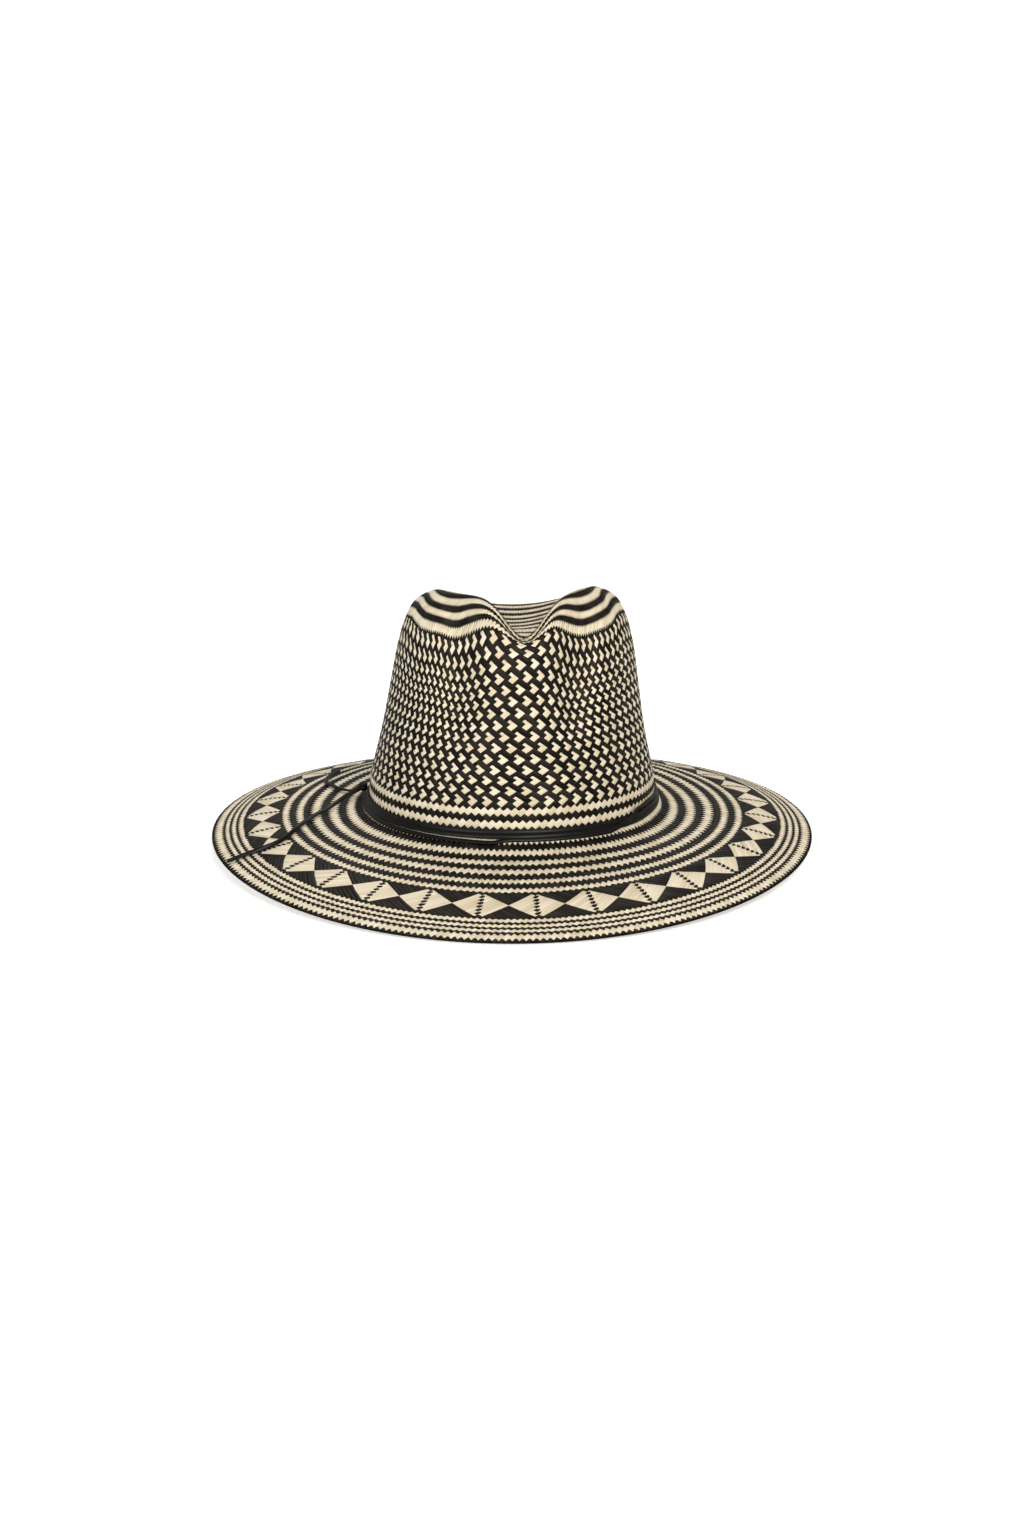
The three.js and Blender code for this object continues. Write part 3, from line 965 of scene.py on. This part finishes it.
def lace_turn(turn):
    """One turn of the lace as a closed flat strip that lies on the straw."""
    degrees = np.linspace(LACE_PLACES[0, 0], LACE_PLACES[-1, 0], LACE_STEPS, endpoint=False)
    first = 1 + COLUMNS_PER_TURN * turn
    run = smooth_column(first, degrees)
    lift = smooth_column(first + 1, degrees)
    roll = np.radians(smooth_column(first + 2, degrees))[:, None]
    share = lace_shares(np.radians(degrees))
    centres = lifted(run, share, LACE_GAP + LACE_THICKNESS / 2 + lift)
    normals = unit(on_grid(GRID_NORMALS, run, share))
    forward = unit(np.roll(centres, -1, axis=0) - np.roll(centres, 1, axis=0))
    side = unit(np.cross(forward, normals))
    up = np.cross(side, forward)
    sides = side * np.cos(roll) + up * np.sin(roll)
    ups = np.cross(sides, forward)
    section = ribbon_section(LACE_WIDTH, LACE_THICKNESS, LACE_CORNER)
    return sweep(centres, sides, ups, section, closed=True)


def join_parts(parts):
    """The points and quads of several parts as those of one."""
    points, quads, offset = [], [], 0
    for part_points, part_quads in parts:
        points.append(part_points)
        quads.append(part_quads + offset)
        offset += len(part_points)
    return np.concatenate(points), np.concatenate(quads)


def add_leather(name, parts, node):
    """A piece of the lace that takes the place of a solid."""
    points, quads = join_parts(parts)
    mesh = mesh_from_quads(name, points, quads)
    mesh.materials.append(LEATHER)
    piece = new_object(name, mesh)
    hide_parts(node)
    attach(piece, "root")


add_leather("leather_lace_band", [lace_turn(turn) for turn in range(LACE_TURNS)], "lace_band")


# The knot at the crown's rear, at the photo's left

KNOT_CENTRE = np.array([-91.3, 9.5, 28.6])
KNOT_WRAPS = 3
KNOT_RADIUS = 1.9
KNOT_HEIGHT = 4.8
KNOT_STEPS = 96
# How far the coil's ends stay inside the knot's height, and how much it swells at every other wrap
KNOT_END_INSET = 1.0
KNOT_SWELL = 0.25
# Drawn tight, the lace is narrower
KNOT_LACE_SHARE = 0.8

HEART_STICKS_OUT = 0.2
HEART_STEPS = 8
HEART_SIDE = (0.8, 0.6, 0.0)
HEART_SECTION = ribbon_section(width=3.2, thickness=3.0, corner=0.8)


def knot_wraps():
    """The lace wound about itself three times, as an upright coil."""
    turn = np.linspace(0, KNOT_WRAPS * 2 * math.pi, KNOT_STEPS)
    end = KNOT_HEIGHT / 2 - KNOT_END_INSET
    height = np.linspace(-end, end, KNOT_STEPS)
    radius = KNOT_RADIUS + KNOT_SWELL * np.sin(turn / 2)
    centres = KNOT_CENTRE + np.stack([radius * np.cos(turn), radius * np.sin(turn), height], axis=-1)
    outward = np.stack([np.cos(turn), np.sin(turn), np.zeros_like(turn)], axis=-1)
    forward = unit(np.gradient(centres, axis=0))
    sides = unit(np.cross(forward, outward))
    ups = np.cross(sides, forward)
    section = ribbon_section(LACE_WIDTH * KNOT_LACE_SHARE, LACE_THICKNESS, LACE_CORNER)
    return sweep(centres, sides, ups, section, closed=False)


def knot_heart():
    """The lace's two ends that the coil holds, seen in its top and bottom."""
    end = KNOT_HEIGHT / 2 + HEART_STICKS_OUT
    along = np.linspace(-end, end, HEART_STEPS)
    centres = KNOT_CENTRE + along[:, None] * np.array([0.0, 0.0, 1.0])
    sides = np.tile(HEART_SIDE, (HEART_STEPS, 1))
    ups = np.cross(sides, (0.0, 0.0, 1.0))
    return sweep(centres, sides, ups, HEART_SECTION, closed=False)


add_leather("leather_lace_knot", [knot_wraps(), knot_heart()], "lace_knot")


# Floor and light, in metres and watts

FLOOR_DROP = 0.0002
SWEEP_FRONT = -16.0
SWEEP_START = 1.4
SWEEP_RADIUS = 1.2
SWEEP_TOP = 4.0
SWEEP_HALF_WIDTH = 4.0
SWEEP_STEPS = 24
PAPER_GLOW = 0.5
WORLD_STRENGTH = 0.28
# Columns: name, place, what it points at, width, power and colour
LIGHTS = (
    ("key_light", (0.55, -1.3, 1.35), (0.0, 0.0, 0.08), 1.0, 22.0, "#fffaf2"),
    ("fill_light", (-1.1, -1.3, 0.8), (0.0, 0.0, 0.06), 1.2, 12.0, "#f8faff"),
    ("back_light", (0.0, 1.1, 1.6), (0.0, 0.0, 0.1), 0.8, 9.0, "#ffffff"),
)


def paper_material():
    """Matt white paper that glows a little, as it does when it is lit evenly from all sides."""
    material, tree = new_material("white_paper")
    shader = add_node(
        tree, "ShaderNodeBsdfPrincipled", (600, 0),
        Base_Color=linear("#f6f6f4"), Roughness=0.9, Specular_IOR_Level=0.1,
        Emission_Color=linear("#ffffff"), Emission_Strength=PAPER_GLOW,
    )
    add_node(tree, "ShaderNodeOutputMaterial", (900, 0), [("Surface", shader.outputs["BSDF"])])
    return material


def add_sweep():
    """White paper under the hat that curves up behind it, so that no edge shows."""
    turns = np.linspace(0, math.pi / 2, SWEEP_STEPS)
    profile = [(SWEEP_FRONT, 0.0)]
    profile += [
        (SWEEP_START + SWEEP_RADIUS * math.sin(turn), SWEEP_RADIUS * (1 - math.cos(turn))) for turn in turns
    ]
    profile.append((SWEEP_START + SWEEP_RADIUS, SWEEP_TOP))
    sheet = bmesh.new()
    line = [sheet.verts.new((-SWEEP_HALF_WIDTH, y, z - FLOOR_DROP)) for y, z in profile]
    edges = [sheet.edges.new(ends) for ends in zip(line, line[1:])]
    made = bmesh.ops.extrude_edge_only(sheet, edges=edges)["geom"]
    far_side = [item for item in made if isinstance(item, bmesh.types.BMVert)]
    bmesh.ops.translate(sheet, verts=far_side, vec=(2 * SWEEP_HALF_WIDTH, 0.0, 0.0))
    for face in sheet.faces:
        face.smooth = True
    mesh = bpy.data.meshes.new("studio_paper")
    sheet.to_mesh(mesh)
    sheet.free()
    mesh.materials.append(paper_material())
    paper = new_object("studio_paper", mesh)
    # The straw mirrors none of the paper, as if black flags stood between them
    paper.visible_glossy = False


def add_area_light(name, place, target, size, power, colour):
    """A round soft light that points at its target."""
    data = bpy.data.lights.new(name, "AREA")
    data.shape = "DISK"
    data.size = size
    data.energy = power
    data.color = linear(colour)[:3]
    light = bpy.data.objects.new(name, data)
    light.location = place
    direction = Vector(target) - Vector(place)
    light.rotation_euler = direction.to_track_quat("-Z", "Y").to_euler()
    bpy.context.collection.objects.link(light)


def add_world():
    """Even white light from all sides."""
    world = bpy.data.worlds.new("white_studio")
    world.use_nodes = True
    background = world.node_tree.nodes["Background"]
    background.inputs["Color"].default_value = linear("#ffffff")
    background.inputs["Strength"].default_value = WORLD_STRENGTH
    bpy.context.scene.world = world


add_sweep()
add_world()
for light in LIGHTS:
    add_area_light(*light)
bpy.context.scene.view_settings.view_transform = "Standard"
